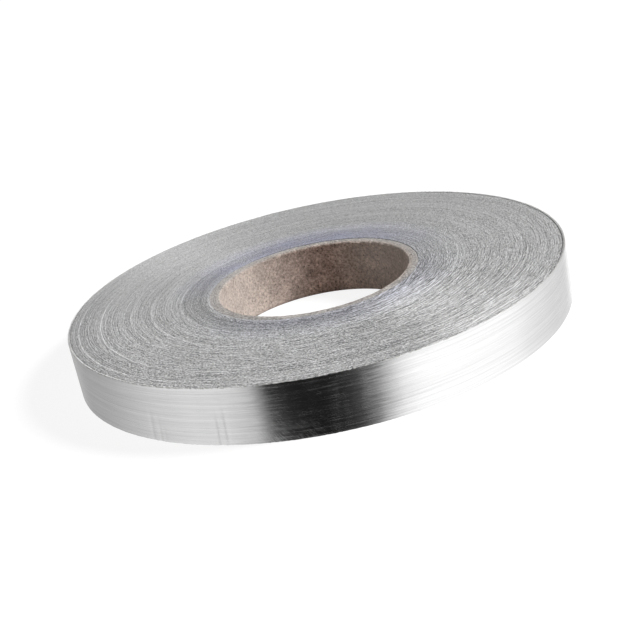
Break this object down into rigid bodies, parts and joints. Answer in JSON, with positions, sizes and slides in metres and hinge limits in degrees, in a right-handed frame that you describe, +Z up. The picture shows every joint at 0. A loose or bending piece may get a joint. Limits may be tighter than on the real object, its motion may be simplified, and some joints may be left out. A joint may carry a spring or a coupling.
{
  "type": "foil tape roll",
  "caption": "Roll of narrow self-adhesive metal foil tape wound on a spiral board core, with a free end that lifts off and comes off its liner.",
  "frame": {"origin": "on the bore's axis, in the plane that the roll lies on", "axes": "+Z up along the bore's axis; +X and +Y in the plane of the roll, with the tape's free end at about 100 degrees from +X"},
  "size_m": [0.0877, 0.0877, 0.0097],
  "materials": {
    "core_board": "matt recycled chipboard, mottled grey-brown",
    "wound_edges": "slit edges of many wound foil turns, bright and finely streaked",
    "wound_edges_blued": "slit edges of the inner wound turns, with a faint blue cast",
    "foil": "bright silver-coloured rolled foil with fine lines along its length",
    "adhesive": "clear tacky film",
    "liner_paper": "smooth off-white release paper"
  },
  "bodies": {
    "roll": {"core_inner_ply": "core_board", "core_second_ply": "core_board", "core_third_ply": "core_board", "core_outer_ply": "core_board", "wound_turns_1": "wound_edges_blued", "wound_turns_2": "wound_edges", "wound_turns_3": "wound_edges", "wound_turns_4": "wound_edges", "wound_turns_5": "wound_edges", "wound_turns_6": "wound_edges", "liner_outer_turn": "liner_paper", "adhesive_outer_turn": "adhesive", "foil_outer_turn": "foil"},
    "liner_end": {"liner_end": "liner_paper"},
    "foil_end": {"adhesive_end": "adhesive", "foil_end": "foil"}
  },
  "joints": [
    {"name": "end_lift", "type": "hinge", "parent": "roll", "child": "liner_end", "pos_m": [0.01688, 0.04057, 0.00481], "axis": [0, 0, -1], "range_deg": [0, 60]},
    {"name": "foil_peel", "type": "hinge", "parent": "liner_end", "child": "foil_end", "pos_m": [0.01688, 0.04057, 0.00481], "axis": [0, 0, -1], "range_deg": [0, 90]}
  ]
}
